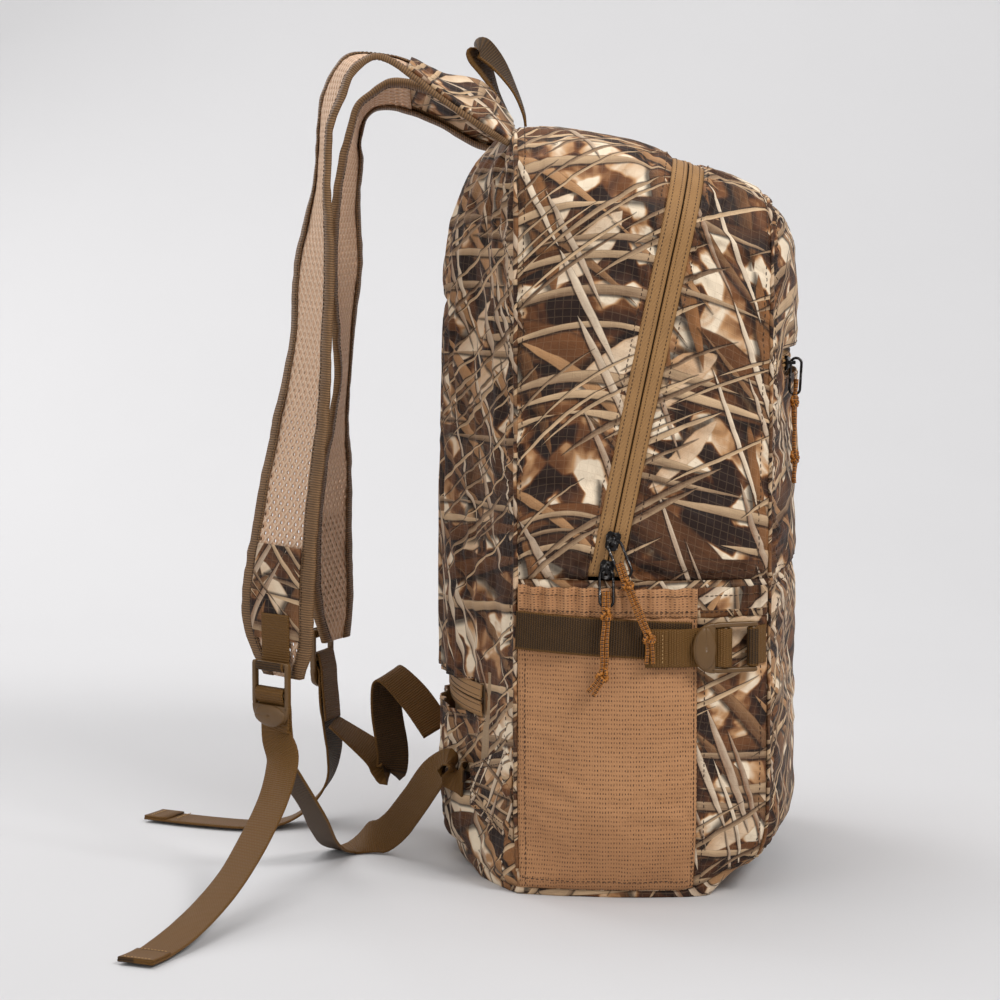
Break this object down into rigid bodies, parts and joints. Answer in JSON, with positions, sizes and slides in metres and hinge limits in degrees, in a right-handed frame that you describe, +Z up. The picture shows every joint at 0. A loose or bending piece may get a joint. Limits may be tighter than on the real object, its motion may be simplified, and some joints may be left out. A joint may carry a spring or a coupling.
{
  "type": "hunting backpack",
  "caption": "Light camouflage hunting daypack standing upright, with zipped main compartment, mesh side pockets, side straps with ladder locks, and mesh shoulder straps with hanging webbing.",
  "frame": {"origin": "middle of the flat of the base, on the floor", "axes": "+Z up, +Y towards the wearer's back with the shoulder straps, +X to the wearer's right"},
  "size_m": [0.4833, 0.4576, 0.5622],
  "materials": {
    "camo_fabric": "printed ripstop",
    "pocket_mesh": "knitted mesh",
    "spacer_mesh": "open spacer mesh",
    "zip_tape": "woven tape",
    "binding": "grosgrain",
    "lining": "plain weave",
    "webbing": "ribbed webbing",
    "buckle_plastic": "satin",
    "zip_metal": "black with worn edges",
    "pull_cord": "braided cord"
  },
  "bodies": {
    "pack": {"back_panel": "camo_fabric", "base_panel": "camo_fabric", "side_panel_left": "camo_fabric", "side_panel_right": "camo_fabric", "front_panel_lower": "camo_fabric", "rear_gusset": "camo_fabric", "main_zip_tape_rear": "zip_tape", "seam_binding_back": "binding", "stash_zip_tape": "zip_tape", "stash_pocket_bag": "lining", "pocket_mesh_left": "pocket_mesh", "pocket_mesh_right": "pocket_mesh", "pocket_strip_left": "camo_fabric", "pocket_strip_right": "camo_fabric", "pocket_hem_left": "pocket_mesh", "pocket_hem_right": "pocket_mesh", "wing_left": "camo_fabric", "wing_right": "camo_fabric", "comp_strap_left": "webbing", "comp_strap_right": "webbing", "comp_anchor_left": "webbing", "comp_anchor_right": "webbing", "lower_webbing_left": "webbing", "lower_webbing_right": "webbing"},
    "lid": {"front_gusset": "camo_fabric", "front_panel_upper": "camo_fabric", "main_zip_tape_front": "zip_tape", "front_zip_tape": "zip_tape", "front_pocket_bag": "lining"},
    "slider_upper": {"zip_slider_upper": "zip_metal"},
    "pull_upper": {"pull_ring_upper": "zip_metal", "pull_cord_upper": "pull_cord"},
    "slider_lower": {"zip_slider_lower": "zip_metal"},
    "pull_lower": {"pull_ring_lower": "zip_metal", "pull_cord_lower": "pull_cord"},
    "slider_front": {"zip_slider_front": "zip_metal"},
    "pull_front": {"pull_ring_front": "zip_metal", "pull_cord_front": "pull_cord"},
    "slider_stash": {"zip_slider_stash": "zip_metal"},
    "pull_stash": {"pull_ring_stash": "zip_metal", "pull_cord_stash": "pull_cord"},
    "strap_left": {"strap_mesh_left": "spacer_mesh", "strap_binding_left": "binding", "strap_patches_left": "camo_fabric", "strap_tab_left": "webbing"},
    "buckle_left": {"shoulder_lock_left": "buckle_plastic", "adjuster_webbing_left": "webbing"},
    "comp_buckle_left": {"comp_lock_left": "buckle_plastic", "comp_tail_left": "webbing"},
    "strap_right": {"strap_mesh_right": "spacer_mesh", "strap_binding_right": "binding", "strap_patches_right": "camo_fabric", "strap_tab_right": "webbing"},
    "buckle_right": {"shoulder_lock_right": "buckle_plastic", "adjuster_webbing_right": "webbing"},
    "comp_buckle_right": {"comp_lock_right": "buckle_plastic", "comp_tail_right": "webbing"},
    "haul_loop": {"haul_loop": "webbing"}
  },
  "joints": [
    {"name": "lid_fold", "type": "hinge", "parent": "pack", "child": "lid", "pos_m": [0, -0.113, 0.178], "axis": [1, 0, 0], "range_deg": [0, 50]},
    {"name": "upper_slider_travel", "type": "slide", "parent": "pack", "child": "slider_upper", "axis": [0, -0.2035, 0.9791], "range_m": [0, 0.18]},
    {"name": "lower_slider_travel", "type": "slide", "parent": "pack", "child": "slider_lower", "axis": [0, -0.2035, 0.9791], "range_m": [0, 0.004]},
    {"name": "front_slider_travel", "type": "hinge", "parent": "lid", "child": "slider_front", "pos_m": [0, 0.281, 0.346], "axis": [0, 0, 1], "range_deg": [0, 24]},
    {"name": "stash_slider_travel", "type": "hinge", "parent": "pack", "child": "slider_stash", "pos_m": [0, -0.087, 0.121], "axis": [0, 0, 1], "range_deg": [0, 35]},
    {"name": "upper_pull_lift", "type": "hinge", "parent": "slider_upper", "child": "pull_upper", "pos_m": [-0.1496, 0.01257, 0.23565], "axis": [0, 0.9791, 0.2035], "range_deg": [0, 50]},
    {"name": "lower_pull_lift", "type": "hinge", "parent": "slider_lower", "child": "pull_lower", "pos_m": [-0.1496, 0.01641, 0.21715], "axis": [0, 0.9791, 0.2035], "range_deg": [0, 45]},
    {"name": "front_pull_lift", "type": "hinge", "parent": "slider_front", "child": "pull_front", "pos_m": [-0.0852, -0.10983, 0.346], "axis": [-0.9776, 0.2104, 0], "range_deg": [0, 75]},
    {"name": "stash_pull_lift", "type": "hinge", "parent": "slider_stash", "child": "pull_stash", "pos_m": [0.06369, 0.11611, 0.121], "axis": [0.955, -0.2968, 0], "range_deg": [0, 75]},
    {"name": "strap_left_swing", "type": "hinge", "parent": "pack", "child": "strap_left", "pos_m": [-0.072, 0.074, 0.492], "axis": [1, 0, 0], "range_deg": [-8, 60], "deforming": ["lower_webbing_left"]},
    {"name": "strap_right_swing", "type": "hinge", "parent": "pack", "child": "strap_right", "pos_m": [0.072, 0.074, 0.492], "axis": [1, 0, 0], "range_deg": [-2, 60], "deforming": ["lower_webbing_right"]},
    {"name": "shoulder_buckle_left_tilt", "type": "hinge", "parent": "strap_left", "child": "buckle_left", "pos_m": [-0.1, 0.236, 0.146], "axis": [0.6428, 0.766, 0], "range_deg": [0, 35]},
    {"name": "shoulder_buckle_right_tilt", "type": "hinge", "parent": "strap_right", "child": "buckle_right", "pos_m": [0.094, 0.2136, 0.139], "axis": [0.9272, -0.3746, 0], "range_deg": [0, 35]},
    {"name": "side_buckle_left_tilt", "type": "hinge", "parent": "pack", "child": "comp_buckle_left", "pos_m": [-0.15, -0.078, 0.167], "axis": [0, 0, 1], "range_deg": [0, 35], "deforming": ["comp_tail_left"]},
    {"name": "side_buckle_right_tilt", "type": "hinge", "parent": "pack", "child": "comp_buckle_right", "pos_m": [0.15, -0.078, 0.167], "axis": [0, 0, -1], "range_deg": [0, 35], "deforming": ["comp_tail_right"]},
    {"name": "haul_loop_swing", "type": "hinge", "parent": "pack", "child": "haul_loop", "pos_m": [0, 0.0715, 0.5015], "axis": [1, 0, 0], "range_deg": [-25, 45]}
  ]
}
